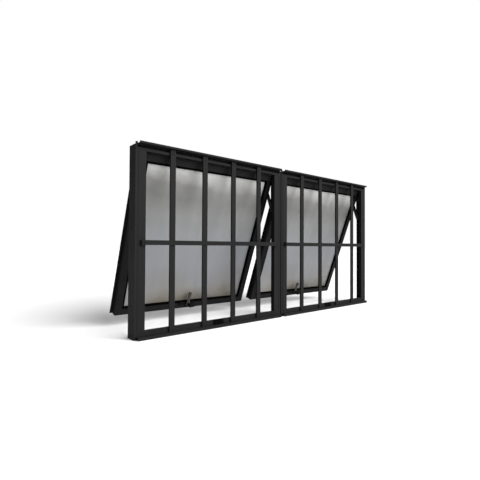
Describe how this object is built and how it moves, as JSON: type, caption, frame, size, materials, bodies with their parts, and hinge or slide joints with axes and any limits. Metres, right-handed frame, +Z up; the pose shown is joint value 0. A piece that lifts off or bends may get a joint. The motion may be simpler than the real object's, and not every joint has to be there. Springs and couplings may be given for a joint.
{
  "type": "twin top-hung casement window",
  "caption": "Twin top-hung projecting window in black aluminium with obscured glass, friction stays, turn handles and a flat-bar security grille inside.",
  "frame": {"origin": "centre of the seat under the sill: middle of the window's length and of its frame's depth", "axes": "+X along the window to the right seen from inside, +Y to the outside, +Z up"},
  "size_m": [1.26, 0.2533, 0.6],
  "materials": {
    "frame_profile": "matte black powder coat",
    "sash_profile": "matte black powder coat",
    "grille_bar": "matte black powder coat",
    "rubber_seal": "matte black rubber",
    "obscure_glass": "obscured, finely textured",
    "stay_steel": "black-passivated steel",
    "shoe_nylon": "moulded nylon",
    "handle_black": "satin black paint",
    "lever_grey": "satin dark bronze paint",
    "keeper_black": "moulded, matte",
    "fixing_black": "black painted heads",
    "fixing_steel": "zinc-plated steel"
  },
  "bodies": {
    "frame": {"unit1_head": "frame_profile", "unit1_sill": "frame_profile", "unit1_jamb_left": "frame_profile", "unit1_jamb_right": "frame_profile", "unit1_frame_seal": "rubber_seal", "unit1_grille_bar_1": "grille_bar", "unit1_grille_bar_2": "grille_bar", "unit1_grille_bar_3": "grille_bar", "unit1_grille_bar_4": "grille_bar", "unit1_grille_crossbar": "grille_bar", "unit1_stay_tracks": "stay_steel", "unit1_keeper": "keeper_black", "unit2_head": "frame_profile", "unit2_sill": "frame_profile", "unit2_jamb_left": "frame_profile", "unit2_jamb_right": "frame_profile", "unit2_frame_seal": "rubber_seal", "unit2_grille_bar_1": "grille_bar", "unit2_grille_bar_2": "grille_bar", "unit2_grille_bar_3": "grille_bar", "unit2_grille_bar_4": "grille_bar", "unit2_grille_crossbar": "grille_bar", "unit2_stay_tracks": "stay_steel", "unit2_keeper": "keeper_black", "grille_rivets": "fixing_black", "stay_foot_rivets": "stay_steel", "coupling_strip": "rubber_seal", "coupling_screws": "fixing_steel"},
    "unit1_sash": {"unit1_sash_top_rail": "sash_profile", "unit1_sash_bottom_rail": "sash_profile", "unit1_sash_stile_left": "sash_profile", "unit1_sash_stile_right": "sash_profile", "unit1_glazing_beads": "sash_profile", "unit1_glass": "obscure_glass", "unit1_glazing_gasket": "rubber_seal", "unit1_stay_sash_bars": "stay_steel", "unit1_stay_sash_pins": "stay_steel", "unit1_handle_base": "handle_black", "unit1_handle_screws": "fixing_steel"},
    "unit1_arm_left": {"unit1_stay_arm_left": "stay_steel"},
    "unit1_shoe_left": {"unit1_stay_shoe_left": "shoe_nylon"},
    "unit1_arm_right": {"unit1_stay_arm_right": "stay_steel"},
    "unit1_shoe_right": {"unit1_stay_shoe_right": "shoe_nylon"},
    "unit1_lever": {"unit1_handle_lever": "lever_grey"},
    "unit2_sash": {"unit2_sash_top_rail": "sash_profile", "unit2_sash_bottom_rail": "sash_profile", "unit2_sash_stile_left": "sash_profile", "unit2_sash_stile_right": "sash_profile", "unit2_glazing_beads": "sash_profile", "unit2_glass": "obscure_glass", "unit2_glazing_gasket": "rubber_seal", "unit2_stay_sash_bars": "stay_steel", "unit2_stay_sash_pins": "stay_steel", "unit2_handle_base": "handle_black", "unit2_handle_screws": "fixing_steel"},
    "unit2_arm_left": {"unit2_stay_arm_left": "stay_steel"},
    "unit2_shoe_left": {"unit2_stay_shoe_left": "shoe_nylon"},
    "unit2_arm_right": {"unit2_stay_arm_right": "stay_steel"},
    "unit2_shoe_right": {"unit2_stay_shoe_right": "shoe_nylon"},
    "unit2_lever": {"unit2_handle_lever": "lever_grey"}
  },
  "joints": [
    {"name": "unit1_opening", "type": "hinge", "parent": "frame", "child": "unit1_arm_left", "pos_m": [-0.612, 0.0105, 0.435], "axis": [-1, 0, 0], "range_deg": [-20.5, 24.5]},
    {"name": "unit1_sash_on_arm", "type": "hinge", "parent": "unit1_arm_left", "child": "unit1_sash", "pos_m": [-0.612, 0.03501, 0.50057], "axis": [1, 0, 0], "range_deg": [-41, 49]},
    {"name": "unit1_arm_right_turn", "type": "hinge", "parent": "frame", "child": "unit1_arm_right", "pos_m": [-0.02, 0.0105, 0.435], "axis": [-1, 0, 0], "range_deg": [-20.5, 24.5]},
    {"name": "unit1_shoe_left_turn", "type": "hinge", "parent": "unit1_sash", "child": "unit1_shoe_left", "pos_m": [-0.612, 0.0105, 0.56613], "axis": [-1, 0, 0], "range_deg": [-20.5, 24.5]},
    {"name": "unit1_shoe_right_turn", "type": "hinge", "parent": "unit1_sash", "child": "unit1_shoe_right", "pos_m": [-0.02, 0.0105, 0.56613], "axis": [-1, 0, 0], "range_deg": [-20.5, 24.5]},
    {"name": "unit1_handle_turn", "type": "hinge", "parent": "unit1_sash", "child": "unit1_lever", "pos_m": [-0.316, 0.19839, 0.06361], "axis": [0, 0.9367, 0.3502], "range_deg": [0, 90]},
    {"name": "unit2_opening", "type": "hinge", "parent": "frame", "child": "unit2_arm_left", "pos_m": [0.02, 0.0105, 0.435], "axis": [-1, 0, 0], "range_deg": [-20.5, 24.5]},
    {"name": "unit2_sash_on_arm", "type": "hinge", "parent": "unit2_arm_left", "child": "unit2_sash", "pos_m": [0.02, 0.03501, 0.50057], "axis": [1, 0, 0], "range_deg": [-41, 49]},
    {"name": "unit2_arm_right_turn", "type": "hinge", "parent": "frame", "child": "unit2_arm_right", "pos_m": [0.612, 0.0105, 0.435], "axis": [-1, 0, 0], "range_deg": [-20.5, 24.5]},
    {"name": "unit2_shoe_left_turn", "type": "hinge", "parent": "unit2_sash", "child": "unit2_shoe_left", "pos_m": [0.02, 0.0105, 0.56613], "axis": [-1, 0, 0], "range_deg": [-20.5, 24.5]},
    {"name": "unit2_shoe_right_turn", "type": "hinge", "parent": "unit2_sash", "child": "unit2_shoe_right", "pos_m": [0.612, 0.0105, 0.56613], "axis": [-1, 0, 0], "range_deg": [-20.5, 24.5]},
    {"name": "unit2_handle_turn", "type": "hinge", "parent": "unit2_sash", "child": "unit2_lever", "pos_m": [0.316, 0.19839, 0.06361], "axis": [0, 0.9367, 0.3502], "range_deg": [0, 90]}
  ],
  "couplings": [
    {"joint": "unit1_sash_on_arm", "follows": "unit1_opening", "ratio": 2},
    {"joint": "unit1_arm_right_turn", "follows": "unit1_opening", "ratio": 1},
    {"joint": "unit1_shoe_left_turn", "follows": "unit1_opening", "ratio": 1},
    {"joint": "unit1_shoe_right_turn", "follows": "unit1_opening", "ratio": 1},
    {"joint": "unit2_sash_on_arm", "follows": "unit2_opening", "ratio": 2},
    {"joint": "unit2_arm_right_turn", "follows": "unit2_opening", "ratio": 1},
    {"joint": "unit2_shoe_left_turn", "follows": "unit2_opening", "ratio": 1},
    {"joint": "unit2_shoe_right_turn", "follows": "unit2_opening", "ratio": 1}
  ]
}
